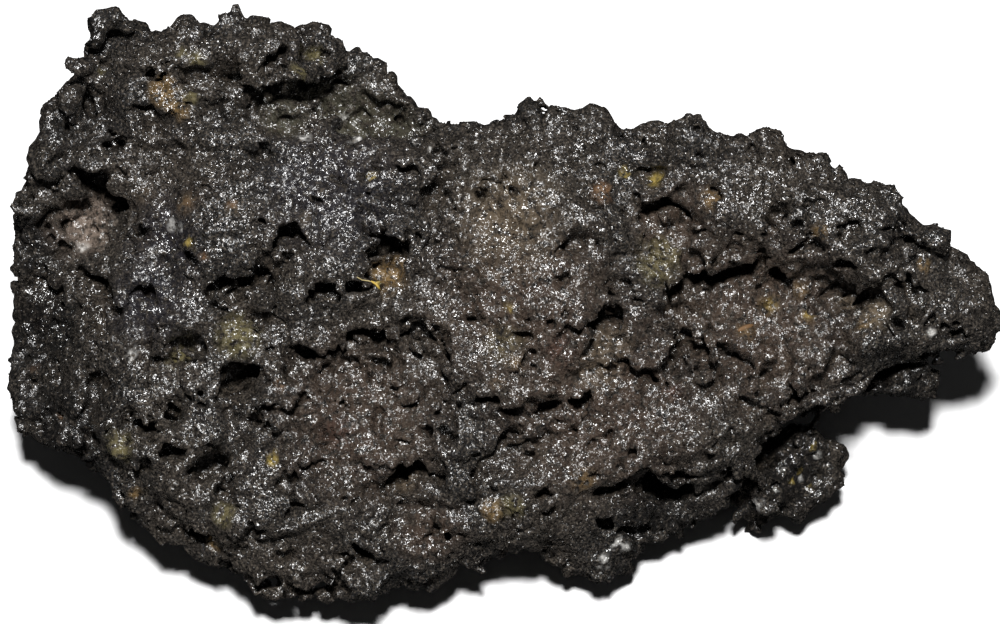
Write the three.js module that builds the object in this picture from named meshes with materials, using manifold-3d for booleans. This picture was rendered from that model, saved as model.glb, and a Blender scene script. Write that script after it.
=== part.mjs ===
// Lava rock: one loose lump of dark, bubbly lava about as long as a hand, lying on a flat underside.
// Millimetres, +Z up. The origin is under the middle of the rock, on the surface that it rests on.
// The broad upper face leans toward -Y. Its forms are laid out in the plane of that face:
// u to the right, v up the slope and w straight out of the face.

import * as THREE from 'three';
import { ImprovedNoise } from 'three/addons/math/ImprovedNoise.js';
import { mergeVertices } from 'three/addons/utils/BufferGeometryUtils.js';
import Module from 'manifold-3d';

const wasm = await Module();
wasm.setup();

// Driving dimensions
const FACE_LEAN = THREE.MathUtils.degToRad(25); // how far the broad face leans from level
const FACE_HEIGHT = 28; // height of the middle of the face above the resting surface
const RIM_DROP = 5; // how far the face rounds down where it reaches the rim
const RIM_BAND = 0.18; // share of the way from rim to middle that is rounded
const FOOT_SHARE = 0.62; // size of the footprint against the rim, seen from above
const FOOT_SHIFT = { x: -2, y: 3 }; // place of the footprint's middle against the rim's
const FOOT_SINK = 1.8; // how far the underside is modelled below the flat it is cut to
const CUT_SIZE = 400; // edge of the block that cuts the underside flat
const BIG_LUMP = { width: 11, rise: 1.3 }; // swellings of the cooled crust
const SMALL_LUMP = { width: 5.2, rise: 0.6 }; // knobs on those swellings
const LUMPS = [BIG_LUMP, SMALL_LUMP];
const RIM_LUMP_SHARE = 0.3; // how much of the lumps is left on the rim, whose outline has its own

// Proportions of the small forms: shares of a hollow's run and depth, and of a knob's and a bubble's radius
const HOLLOW = { undercut: 0.25, thickness: 0.75, tilt: 0.6, sink: 0.3 };
const KNOB = { stretch: [1.4, 1.1, 1], sink: 0.6, roughness: 0.25 };
const BUBBLE_STRETCH = [1.3, 1, 0.8];

// Mesh fineness: rings of points from the middle of the face to the widest ring and on to the rim,
// which gives the rim one corner for each of its points, and how often the small forms' faces are split
const RINGS = 22;
const RINGS_PAST_WIDEST = 3;
const KNOB_SPLITS = 1;
const LOBE_SPLITS = 2;
const MOST_HOLLOW_SPLITS = 3;
const RIM_SAMPLES = 720;
const CURVE_STEPS = 40; // steps for each point of a curve, in which its length is measured
const MERGE_DISTANCE = 1e-5;
const SHORTEST_EDGE = 0.03; // edges that the cuts leave shorter than this are closed up

// Rim of the face as (u, v), from the right-hand tip round by the top edge
const RIM = [
  [60, 0], [59.2, 3.5], [56.7, 7.5], [54, 9.5], [52.2, 10], [48.2, 14.5], [44.7, 15.6], [41.5, 17.4],
  [39, 19.5], [36.2, 19.2], [34.5, 21.3], [32.3, 22.1], [27.5, 21.2], [23.4, 23.7], [19, 22.3], [15, 23],
  [11.6, 25.2], [9.8, 24.8], [7.3, 24.2], [4.3, 25.4], [1.2, 24.2], [-3.6, 25], [-6.1, 24.3], [-8.5, 25.8],
  [-11, 26.8], [-13.4, 29.5], [-14.8, 31.3], [-18, 32.8], [-20.4, 33.5], [-22.2, 35.6], [-26, 35.3],
  [-29, 35.7], [-32, 37.2], [-34.8, 35.6], [-39, 35.6], [-40.7, 36.5], [-41.6, 34.2], [-44, 34.8],
  [-47.6, 36.8], [-50, 35.5], [-50.3, 32], [-52.7, 30], [-51.7, 27], [-54, 25.8], [-55.6, 22], [-57.6, 17.8],
  [-59.4, 14], [-59.8, 9.4], [-60, 5.4], [-58.8, 1.5], [-59.6, -0.6], [-58.4, -2.4], [-59.7, -7.7],
  [-60, -13.5], [-56.1, -16.8], [-50.3, -18.8], [-46.6, -23.9], [-40.3, -28.8], [-33.6, -31.5],
  [-29, -35.6], [-24.4, -35.5], [-18, -36.1], [-12.2, -33.3], [-7.3, -32], [0, -29.3], [3, -28.5],
  [8.5, -31.8], [12.5, -32.9], [18.5, -31], [24, -27], [28.6, -21.6], [32.4, -16.6], [38.5, -12.2],
  [47.6, -6.5], [56.1, -4], [59.2, -2.2],
];

// Broad swells and hollows of the face: middle, half widths, turn in degrees, rise in the middle
const SWELLS = [
  { name: 'crown', at: [-4, 0], reach: [56, 32], turn: 0, rise: 3 },
  { name: 'plateau', at: [-27, 9], reach: [21, 13], turn: 0, rise: 2 },
  { name: 'dome', at: [5, 6], reach: [13, 18], turn: 8, rise: 3 },
  { name: 'upper plate', at: [-36, 30], reach: [18, 10], turn: 0, rise: 4 },
  { name: 'back basin', at: [-16, 26], reach: [13, 6], turn: -28, rise: -9 },
  { name: 'left recess', at: [-52, 10], reach: [7.5, 7], turn: 0, rise: -6 },
  { name: 'left flank', at: [-58, -4], reach: [11, 17], turn: 0, rise: -6 },
  { name: 'lower bulge', at: [-28, -20], reach: [20, 14], turn: 0, rise: 2 },
  { name: 'fold valley', at: [1, -19], reach: [12, 4.5], turn: 30, rise: -2.2 },
  { name: 'right terrace', at: [33, 0], reach: [14, 6], turn: 15, rise: -3.5 },
  { name: 'right ridge', at: [35, 13], reach: [23, 8], turn: -22, rise: 3.5 },
  { name: 'front wall', at: [16, -29], reach: [15, 9], turn: 25, rise: -6 },
];

// Hollows under a roof line: the line in (u, v), how far the hollow runs from it, and how deep it is there.
// A line that runs to the right has its hollow below it.
const HOLLOWS = [
  { name: 'under the beak', roof: [[-30.5, 26], [-25, 27], [-20, 30]], run: 6, depth: 5 },
  { name: 'slit in the plate', roof: [[-33.5, 28], [-29.5, 27]], run: 2.6, depth: 3 },
  { name: 'left overhang', roof: [[-51, 17.5], [-48, 15], [-45, 13]], run: 6, depth: 5 },
  { name: 'left crescent', roof: [[-50.5, 5], [-47.5, 2.5], [-46.5, -1]], run: 5, depth: 3 },
  { name: 'plateau hole', roof: [[-27.4, 8.6], [-25.2, 9.6], [-23, 8.4]], run: 3.6, depth: 3.6 },
  { name: 'ochre hole', roof: [[-15.5, 7], [-13.5, 8.4], [-11.2, 7.4]], run: 6, depth: 4 },
  { name: 'bent hole', roof: [[-23, 2], [-21, 3.8], [-19, 3.5], [-17, 6]], run: 3.4, depth: 4 },
  { name: 'west arc', roof: [[-35.5, 2.5], [-31.5, 4.3], [-27.8, 3]], run: 5.6, depth: 2.6 },
  {
    name: 'long ledge',
    roof: [[-25, -5.4], [-22, -5.4], [-17, -2.2], [-11, -2.6], [-5.5, -6.5]],
    run: 8,
    depth: 3.2,
  },
  { name: 'eye', roof: [[-34, -8.3], [-32, -6.5], [-29, -7.2]], run: 5, depth: 4.5 },
  { name: 'west pock', roof: [[-37.4, -4.6], [-35.2, -5.2]], run: 2.6, depth: 2.6 },
  { name: 'west slot', roof: [[-44, -14], [-41, -15.5], [-38, -17.4]], run: 3.5, depth: 3.2 },
  { name: 'twin hole', roof: [[-36.4, -19.4], [-34, -18.4], [-31.4, -19.4]], run: 3.6, depth: 3.6 },
  { name: 'low slit', roof: [[-25, -22.6], [-21, -22.2]], run: 2.5, depth: 2.6 },
  { name: 'low step', roof: [[-32.5, -28], [-28.5, -26.4], [-24.8, -23.2]], run: 4, depth: 1.8 },
  { name: 'low hole', roof: [[-13, -19.8], [-9.8, -18.4]], run: 3.2, depth: 3.2 },
  { name: 'lip recess', roof: [[-28.5, -32], [-24.4, -31.6], [-20, -32]], run: 2.4, depth: 2.6 },
  { name: 'lip notch', roof: [[-35.3, -30.8], [-32.5, -30.4]], run: 2.6, depth: 2.6 },
  { name: 'dome slit', roof: [[6.6, 7.8], [9.2, 8.8]], run: 2, depth: 2.2 },
  { name: 'fold slit', roof: [[3.5, -11.6], [7.4, -11.2]], run: 2.5, depth: 2.2 },
  { name: 'middle hole', roof: [[10, -1.2], [13.5, 0.5], [16.8, -2.4]], run: 5.5, depth: 4.5 },
  { name: 'middle ledge', roof: [[16.6, -7], [20, -7], [22.6, -4], [26.8, -4.4]], run: 5, depth: 4 },
  { name: 'lower ledge', roof: [[25.2, -8.8], [28.5, -6.2], [32, -7.8]], run: 5, depth: 3 },
  { name: 'terrace ledge', roof: [[20.4, 0], [24, 3.8], [28.5, 4.8], [32.4, 6.3]], run: 6.5, depth: 4.2 },
  { name: 'terrace notch', roof: [[32.2, 4], [35.5, 5.5]], run: 3.5, depth: 3 },
  { name: 'upper arc', roof: [[17.6, 12], [20.5, 13.3], [24.5, 10.5]], run: 4.5, depth: 3 },
  { name: 'ridge pock', roof: [[31.3, 9.6], [34.2, 9.8]], run: 2.6, depth: 2.6 },
  { name: 'ridge arc', roof: [[35, 7.6], [38.4, 8.3], [42.8, 5.6]], run: 4.5, depth: 2.6 },
  { name: 'tip arc', roof: [[45, 7.4], [49, 8.7], [51.4, 7.7]], run: 4, depth: 2.6 },
  { name: 'tip hole', roof: [[43, 1.8], [46.6, 2.8]], run: 3.5, depth: 3.6 },
  { name: 'deep hole', roof: [[17, -20.8], [20, -20.2], [24, -21.4]], run: 5, depth: 5 },
  { name: 'wall pock', roof: [[13, -24.8], [15.6, -25.2]], run: 3, depth: 3 },
];

// Knobs that stand out on the face and along its rim: place in (u, v) and radius
const KNOBS = [
  { name: 'horn', at: [-40.5, 34.6], radius: 2 },
  { name: 'plate corner', at: [-31.8, 34.6], radius: 2.8 },
  { name: 'beak', at: [-21, 31.4], radius: 3 },
  { name: 'dome back', at: [4.3, 22.4], radius: 3 },
  { name: 'dome shoulder', at: [11.2, 22.2], radius: 3 },
  { name: 'ridge start', at: [23.4, 20.4], radius: 3.4 },
  { name: 'ridge middle', at: [32.4, 19.2], radius: 3 },
  { name: 'ridge end', at: [39, 16.8], radius: 2.6 },
  { name: 'tip back', at: [45, 12.8], radius: 2.8 },
  { name: 'tip', at: [56, 1.5], radius: 3 },
  { name: 'plate nodule', at: [-39.3, 24.6], radius: 1.8 },
  { name: 'front corner', at: [12.4, -31], radius: 2.8 },
  { name: 'glassy knob', at: [15, -28.6], radius: 2 },
  { name: 'lip knob', at: [-17.6, -33.6], radius: 2.4 },
];

// Lobes of the underside that show past the rim, placed in the rock's own directions before it is centred
const LOBES = [
  { name: 'toe', at: [34.5, -12, 6.5], size: [8, 6, 7.5] },
  { name: 'toe end', at: [30, -15, 4], size: [4.5, 3.5, 5] },
  { name: 'toe back', at: [28, -6, 8], size: [9, 8, 9] },
  { name: 'tip underside', at: [49, -0.5, 14], size: [6.5, 5, 5] },
  { name: 'tip root', at: [40, 4, 12], size: [9, 8, 9] },
];

// Bubble holes in the wall: share of the way round from the right-hand tip, share of the way down, radius
const BUBBLES = [
  { name: 'back right, high', turn: 0.06, down: 0.3, radius: 2.4 },
  { name: 'back right, low', turn: 0.11, down: 0.66, radius: 3 },
  { name: 'back middle, high', turn: 0.17, down: 0.24, radius: 3.2 },
  { name: 'back middle, low', turn: 0.22, down: 0.6, radius: 2.6 },
  { name: 'back left, high', turn: 0.28, down: 0.36, radius: 2.4 },
  { name: 'back left, low', turn: 0.33, down: 0.7, radius: 3.4 },
  { name: 'left corner', turn: 0.39, down: 0.3, radius: 3 },
  { name: 'left side, low', turn: 0.44, down: 0.62, radius: 2.6 },
  { name: 'left side, high', turn: 0.49, down: 0.28, radius: 2.2 },
  { name: 'front left', turn: 0.6, down: 0.5, radius: 2.4 },
  { name: 'front middle', turn: 0.7, down: 0.45, radius: 2 },
];

const noise = new ImprovedNoise();

// Rounded lumps with creases between them, from -1 in a crease to about 1 on a lump
function billow(point, width) {
  const value = noise.noise(point.x / width, point.y / width, point.z / width);
  return 4 * Math.abs(value) - 1;
}

function lumpRise(point, forms) {
  return forms.reduce((sum, form) => sum + form.rise * billow(point, form.width), 0);
}

// From the plane of the face to the rock's own directions
function fromFace(u, v, w) {
  const cos = Math.cos(FACE_LEAN);
  const sin = Math.sin(FACE_LEAN);
  return new THREE.Vector3(u, v * cos - w * sin, v * sin + w * cos + FACE_HEIGHT);
}

function curveThrough(points, closed) {
  const corners = points.map(([u, v]) => new THREE.Vector3(u, v, 0));
  const curve = new THREE.CatmullRomCurve3(corners, closed, 'centripetal');
  curve.arcLengthDivisions = CURVE_STEPS * points.length;
  return curve;
}

const rimCurve = curveThrough(RIM, true);
const rimByAngle = rimCurve
  .getSpacedPoints(RIM_SAMPLES)
  .map((point) => ({ angle: Math.atan2(point.y, point.x), radius: point.length() }));

// How far out a face point is, from 0 in the middle to 1 on the rim
function shareOut(u, v) {
  const angle = Math.atan2(v, u);
  const gap = (entry) => Math.abs(entry.angle - angle);
  const nearest = rimByAngle.reduce((best, entry) => (gap(entry) < gap(best) ? entry : best));
  return Math.hypot(u, v) / nearest.radius;
}

function swellRise({ at, reach, turn, rise }, u, v) {
  const angle = THREE.MathUtils.degToRad(turn);
  const du = u - at[0];
  const dv = v - at[1];
  const along = (du * Math.cos(angle) + dv * Math.sin(angle)) / reach[0];
  const across = (dv * Math.cos(angle) - du * Math.sin(angle)) / reach[1];
  const inside = Math.max(0, 1 - along * along - across * across);
  return rise * inside * inside * (3 - 2 * inside);
}

// Height of the face at (u, v), rounded down toward the rim
function faceHeight(u, v, out = shareOut(u, v)) {
  const rounding = Math.max(0, 1 - (1 - out) / RIM_BAND);
  const swell = SWELLS.reduce((sum, form) => sum + swellRise(form, u, v), 0);
  return swell - RIM_DROP * rounding * rounding;
}

// Height of the face with its lumps
function roughHeight(u, v) {
  const height = faceHeight(u, v);
  return height + lumpRise(fromFace(u, v, height), LUMPS);
}

// Section of the wall below the rim: share of the way in to the footprint, share of the way down
const WALL_SECTION = new THREE.SplineCurve([
  new THREE.Vector2(0, 0),
  new THREE.Vector2(0.0, 0.2),
  new THREE.Vector2(0.3, 0.42),
  new THREE.Vector2(0.75, 0.72),
  new THREE.Vector2(1, 1),
]);
const WALL_SHARE = 0.72;

// Point on the face: turn is the share of the way round the rim, out the share of the way from the middle
function facePoint(turn, out) {
  const rim = rimCurve.getPoint(turn);
  const u = rim.x * out;
  const v = rim.y * out;
  return fromFace(u, v, faceHeight(u, v, out));
}

// Point on the wall or the underside: under goes from 0 at the rim to 1 in the middle of the underside
function underPoint(turn, under) {
  const rim = facePoint(turn, 1);
  const footX = FOOT_SHIFT.x + rim.x * FOOT_SHARE;
  const footY = FOOT_SHIFT.y + rim.y * FOOT_SHARE;
  if (under > WALL_SHARE) {
    const inward = (under - WALL_SHARE) / (1 - WALL_SHARE);
    const x = THREE.MathUtils.lerp(footX, FOOT_SHIFT.x, inward);
    const y = THREE.MathUtils.lerp(footY, FOOT_SHIFT.y, inward);
    return new THREE.Vector3(x, y, -FOOT_SINK);
  }
  const section = WALL_SECTION.getPoint(under / WALL_SHARE);
  const x = THREE.MathUtils.lerp(rim.x, footX, section.x);
  const y = THREE.MathUtils.lerp(rim.y, footY, section.x);
  return new THREE.Vector3(x, y, THREE.MathUtils.lerp(rim.z, -FOOT_SINK, section.y));
}

// Share of the way round a diamond, so that each ring of an octahedron is split evenly
function diamondTurn(x, y) {
  const size = Math.abs(x) + Math.abs(y);
  if (size < MERGE_DISTANCE) {
    return 0;
  }
  const quarter = x >= 0 ? (y >= 0 ? y / size : 4 + y / size) : 2 - y / size;
  return (quarter / 4) % 1;
}

function positionsOnly(geometry) {
  geometry.deleteAttribute('normal');
  geometry.deleteAttribute('uv');
  return mergeVertices(geometry, MERGE_DISTANCE);
}

function moveEachPoint(geometry, move) {
  const position = geometry.attributes.position;
  const point = new THREE.Vector3();
  for (let i = 0; i < position.count; i += 1) {
    point.fromBufferAttribute(position, i);
    const moved = move(point, i);
    position.setXYZ(i, moved.x, moved.y, moved.z);
  }
  return geometry;
}

// Push the surface in and out along its own normals, in lumps
function roughen(geometry, forms, shareAt = () => 1) {
  geometry.computeVertexNormals();
  const normals = geometry.attributes.normal.clone();
  const normal = new THREE.Vector3();
  return moveEachPoint(geometry, (point, i) => {
    normal.fromBufferAttribute(normals, i);
    return point.clone().addScaledVector(normal, shareAt(i) * lumpRise(point, forms));
  });
}

function solidOf(geometry) {
  return new wasm.Manifold(
    new wasm.Mesh({
      numProp: 3,
      vertProperties: new Float32Array(geometry.attributes.position.array),
      triVerts: new Uint32Array(geometry.index.array),
      tolerance: SHORTEST_EDGE,
    }),
  );
}

// The whole lump: face, wall and underside drawn out of an octahedron
function lump() {
  const ball = positionsOnly(new THREE.OctahedronGeometry(1, RINGS - 1));
  const rimAt = 1 + RINGS_PAST_WIDEST / RINGS;
  const lumpShares = [];
  moveEachPoint(ball, ({ x, y, z }, i) => {
    const turn = diamondTurn(x, y);
    const down = 1 - z / (Math.abs(x) + Math.abs(y) + Math.abs(z));
    const fromRim = Math.min(1, Math.abs(down - rimAt) / RIM_BAND);
    lumpShares[i] = THREE.MathUtils.lerp(RIM_LUMP_SHARE, 1, fromRim);
    return down <= rimAt ? facePoint(turn, down / rimAt) : underPoint(turn, (down - rimAt) / (2 - rimAt));
  });
  return solidOf(roughen(ball, LUMPS, (i) => lumpShares[i]));
}

// A hollow with an overhanging roof: a ball bent along the roof line and tilted so that it is deepest there
function hollow({ roof, run, depth }) {
  const line = curveThrough(roof, false);
  const splits = Math.min(roof.length - 1, MOST_HOLLOW_SPLITS);
  const ball = positionsOnly(new THREE.OctahedronGeometry(1, splits));
  moveEachPoint(ball, ({ x, y, z }) => {
    const share = THREE.MathUtils.clamp((x + 1) / 2, 0, 1);
    const start = line.getPoint(share);
    const along = line.getTangent(share);
    const across = run * (HOLLOW.undercut - y / 2);
    const height = depth * (HOLLOW.thickness * z - HOLLOW.tilt * y - HOLLOW.sink);
    const u = start.x + along.y * across;
    const v = start.y - along.x * across;
    return fromFace(u, v, roughHeight(u, v) + height);
  });
  return solidOf(ball);
}

function knob({ at, radius }) {
  const [u, v] = at;
  const middle = fromFace(u, v, roughHeight(u, v) - KNOB.sink * radius);
  const ball = positionsOnly(new THREE.OctahedronGeometry(radius, KNOB_SPLITS));
  ball.scale(...KNOB.stretch);
  ball.translate(middle.x, middle.y, middle.z);
  return solidOf(roughen(ball, [{ width: radius, rise: KNOB.roughness * radius }]));
}

function lobe({ at, size }) {
  const ball = positionsOnly(new THREE.OctahedronGeometry(1, LOBE_SPLITS));
  ball.scale(...size);
  ball.translate(...at);
  return solidOf(roughen(ball, LUMPS));
}

function bubble({ turn, down, radius }) {
  const middle = underPoint(turn, down * WALL_SHARE);
  const ball = positionsOnly(new THREE.OctahedronGeometry(radius, KNOB_SPLITS));
  ball.scale(...BUBBLE_STRETCH);
  ball.translate(middle.x, middle.y, middle.z);
  return solidOf(ball);
}

// Everything below the resting plane
function below() {
  const box = positionsOnly(new THREE.BoxGeometry(CUT_SIZE, CUT_SIZE, CUT_SIZE));
  box.translate(0, 0, -CUT_SIZE / 2);
  return solidOf(box);
}

// Cuts that meet can leave a loose crumb between them: only the rock itself is kept
function withoutCrumbs(solid) {
  return solid.decompose().reduce((most, piece) => (piece.volume() > most.volume() ? piece : most));
}

function rockGeometry() {
  let solid = lump();
  for (const added of [...KNOBS.map(knob), ...LOBES.map(lobe)]) {
    solid = solid.add(added);
  }
  for (const taken of [...HOLLOWS.map(hollow), ...BUBBLES.map(bubble), below()]) {
    solid = solid.subtract(taken);
  }
  const mesh = withoutCrumbs(solid).getMesh();
  const geometry = new THREE.BufferGeometry();
  geometry.setAttribute('position', new THREE.BufferAttribute(new Float32Array(mesh.vertProperties), 3));
  geometry.setIndex(new THREE.BufferAttribute(new Uint32Array(mesh.triVerts), 1));
  geometry.computeBoundingBox();
  const middle = geometry.boundingBox.getCenter(new THREE.Vector3());
  geometry.translate(-middle.x, -middle.y, 0);
  geometry.computeVertexNormals();
  return geometry;
}

const basalt = new THREE.MeshStandardMaterial({ color: 0x2a2725, roughness: 0.7, metalness: 0 });
const lavaRock = new THREE.Mesh(rockGeometry(), basalt);
lavaRock.name = 'lava_rock';

const rock = new THREE.Group();
rock.add(lavaRock);

export default rock;
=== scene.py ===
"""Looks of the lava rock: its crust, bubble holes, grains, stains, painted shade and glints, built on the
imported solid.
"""

import math

import bpy
import numpy as np
import openvdb
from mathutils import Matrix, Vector
from mathutils.bvhtree import BVHTree


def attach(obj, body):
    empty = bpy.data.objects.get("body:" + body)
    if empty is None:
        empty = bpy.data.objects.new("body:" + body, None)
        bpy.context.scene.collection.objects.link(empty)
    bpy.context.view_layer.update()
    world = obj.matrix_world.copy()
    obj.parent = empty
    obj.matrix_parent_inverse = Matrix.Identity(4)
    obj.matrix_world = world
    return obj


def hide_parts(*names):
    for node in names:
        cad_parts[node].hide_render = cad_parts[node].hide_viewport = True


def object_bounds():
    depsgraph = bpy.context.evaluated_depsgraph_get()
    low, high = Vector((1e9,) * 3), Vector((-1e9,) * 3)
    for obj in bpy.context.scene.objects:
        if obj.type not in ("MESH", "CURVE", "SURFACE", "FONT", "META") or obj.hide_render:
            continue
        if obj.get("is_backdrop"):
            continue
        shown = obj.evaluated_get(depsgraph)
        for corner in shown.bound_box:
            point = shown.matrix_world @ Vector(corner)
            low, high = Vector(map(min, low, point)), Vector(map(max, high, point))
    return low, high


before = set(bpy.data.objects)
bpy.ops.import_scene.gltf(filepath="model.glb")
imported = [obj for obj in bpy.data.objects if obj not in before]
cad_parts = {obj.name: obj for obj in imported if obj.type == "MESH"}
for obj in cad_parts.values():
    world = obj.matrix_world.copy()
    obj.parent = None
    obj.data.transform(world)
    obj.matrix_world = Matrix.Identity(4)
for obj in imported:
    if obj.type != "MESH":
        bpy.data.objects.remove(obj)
cad_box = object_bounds()

# Shapes are worked out in millimetres and written to meshes in metres
MM = 0.001

# Seeds of the random clouds and scatters
LUMP_SEED = 11
FINE_LUMP_SEED = 21
RAGGED_SEED = 31
SMALL_KNOB_SEED = 32
SMALL_HOLE_SEED = 33
PORE_SEED = 41
GRAIN_SEED = 11

# The photograph's frame, and the camera that sees the rock as it does
PHOTO_WIDTH = 1000
PHOTO_HEIGHT = 624
PIXEL = 0.122
ELEVATION = math.radians(65)
LENS = 135.0
SENSOR = 36.0
FACE_MIDDLE = Vector((-0.1, -1.7, 28.0))
DISTANCE = PHOTO_WIDTH * PIXEL * LENS / SENSOR
RIGHT = Vector((1.0, 0.0, 0.0))
UP = Vector((0.0, math.sin(ELEVATION), math.cos(ELEVATION)))
TOWARD = Vector((0.0, -math.cos(ELEVATION), math.sin(ELEVATION)))
EYE = FACE_MIDDLE + TOWARD * DISTANCE

# Grid that the crust is shaped on: edge of one small cube, the reach of its distances, the margin round what
# is added or cut, and the digits to which the solid's points are welded
CUBE = 0.3
BAND = 4.0
BALL_MARGIN = 3 * CUBE
WELD_DIGITS = 4

# How the solid's own hollows are filled before they are cut again, finer
FILL_REACH = 2.4
FILLED_ABOVE = (-10.0, -5.0)
FACET_SMOOTHING = 14

# Lumps of the crust, and finer ones after it is cut: distance between them, and how far they stand out.
# In calm places they lose a share of that, of which the finer ones feel less.
LUMPS = ((7.0, 0.5), (3.0, 0.32))
FINE_LUMPS = ((1.5, 0.2), (0.8, 0.22))
MEAN_LUMP = 0.8
CALM_SHARE = 0.65
CALM_EDGE = 1.5
FINE_LEAST = 0.3

# Pores of the crust: distance between them, how rare they are, and how deep
PORES = ((2.2, 1.0, 1.2), (1.2, 0.9, 0.8))

# Ragged edge of the hollows
RAGGED_SPACING = 1.3
RAGGED_DEPTH = 0.3

# A hollow's slit goes in under its roof, and its floor slopes up again away from it. Slit, slope and the lip
# along the roof are shares of the listed width, depth and run, of which the first two are drawn larger.
UNDERCUT = math.radians(14)
SLOPE_RISE = math.radians(16)
DEEPER = 1.3
WIDER = 1.1
LEAST_TAPER = 0.15
SLIT = {"step": 0.5, "offset": 0.4, "sink": 0.35, "along": 0.8, "deep": 0.9, "across": 0.75, "ends": 0.4}
SLOPE = {"offset": 0.42, "sink": 0.1, "along": 0.8, "run": 0.55, "least_run": 0.3, "deep": 0.42}
LIP = {"step": 0.6, "radius": 0.8, "offset": 0.7, "rise": 0.15}

# Shares of a ridge's half-width, and of a pit's and a knob's size
RIDGE = {"step": 0.6, "along": 1.2}
PIT = {"half": 0.55, "deep": 1.6, "sink": 0.5}
KNOB_SINK = 0.6

# Small holes and knobs between the ones that are placed: how many, their radii, how far they are sunk in
# and how deep they go as shares of the radius, and how far they are stretched along the crust
SMALL_HOLES = {"count": 900, "radii": (0.22, 0.5), "sink": 0.8, "depth": 2.0}
SMALL_KNOBS = {"count": 900, "radii": (0.35, 0.8), "sink": 0.55, "depth": 1.0}
STRETCH = (0.8, 1.6)

# How much of the raggedness each form gets, and how wide its edge is rounded
EDGES = {
    "small knob": (1.0, 0.3),
    "knob": (0.5, 1.0),
    "ridge": (1.0, 1.0),
    "basin": (1.5, 0.8),
    "lip": (1.0, 0.8),
    "hollow": (1.0, 0.15),
    "trim": (2.0, 0.15),
    "pit": (0.5, 0.15),
    "small hole": (0.5, 0.15),
    "hollow knob": (0.8, 0.6),
}

# Triangles of the crust, fewer on the hidden sides, and the points below which a loose crumb is left out
ROCK_TRIANGLES = 195000
HIDDEN_LEVELS = 10
HIDDEN_FACTOR = 1.4e-5
CRUMB_POINTS = 5000

# From where to where a point comes into sight, by how much it faces the camera and how high it lies, turns
# into a steep side that is painted with shade and is high enough for grains, and how deep is fully sunk
SEEN_FACING = (-0.35, 0.15)
SEEN_HEIGHT = (-16.0, -8.0)
SHADED_SIDE_FACING = (0.45, -0.05)
GRAINS_ABOVE = (1.0, 2.0)
SUNK_DEPTH = 2.5

# Colours of the crust
CHARCOAL = (0.014, 0.0134, 0.0132, 1)
BROWN_CRUST = (0.0265, 0.0222, 0.0185, 1)
SPECKLE = (0.095, 0.08, 0.064, 1)
HOLLOW_FLOOR = (0.036, 0.0275, 0.0195, 1)
# Painted shade: the colour that steep sides and tiny pits are pulled towards
SHADE_PAINT = (0.005, 0.0047, 0.0045, 1)

# Patterns of the crust: size in millimetres, detail, and the range of the noise that is drawn out
PATTERNS = {
    "brown areas": (9.0, 2.0, 0.38, 0.62),
    "speckle": (0.32, 3.0, 0.46, 0.7),
    "stain patches": (0.8, 4.0, 0.37, 0.55),
    # random dark specks, painted as the shade of tiny pits
    "pit shade": (0.35, 2.0, 0.38, 0.52),
    "dull areas": (3.5, 3.0, 0.4, 0.64),
}
GRIT_SIZES = (0.35, 0.9)
GRIT_DEPTH = 0.12

# Shares of the colours, among them the painted shade on steep sides and in tiny pits, and finish of the crust
SUNK_RANGE = (0.1, 0.8)
SUNK_SHARE = 0.5
SIDE_SHADE = 0.7
# share of the painted shade of tiny pits
POCKET_SHADE = 0.8
GLOSS = 0.68
ROUGHNESS = (0.13, 0.22)
FACET_ROUGHNESS = 0.14
FACET_CHANCE = 0.8
GLASSY_ROUGHNESS = 0.18

# Glittering facets of the crust, small ones on larger ones: their size, how far they tilt, and the colour of
# one that doesn't
FACETS = ((0.17, 0.6), (0.6, 0.7))
UPRIGHT = (0.5, 0.5, 0.5)

# Grains stuck on the crust: how many, and their radii
GRAINS = {
    "coarse": {"count": 1500, "radii": (0.12, 0.3)},
    "medium": {"count": 9000, "radii": (0.08, 0.19)},
    "fine": {"count": 9400, "radii": (0.06, 0.13)},
}

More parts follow.
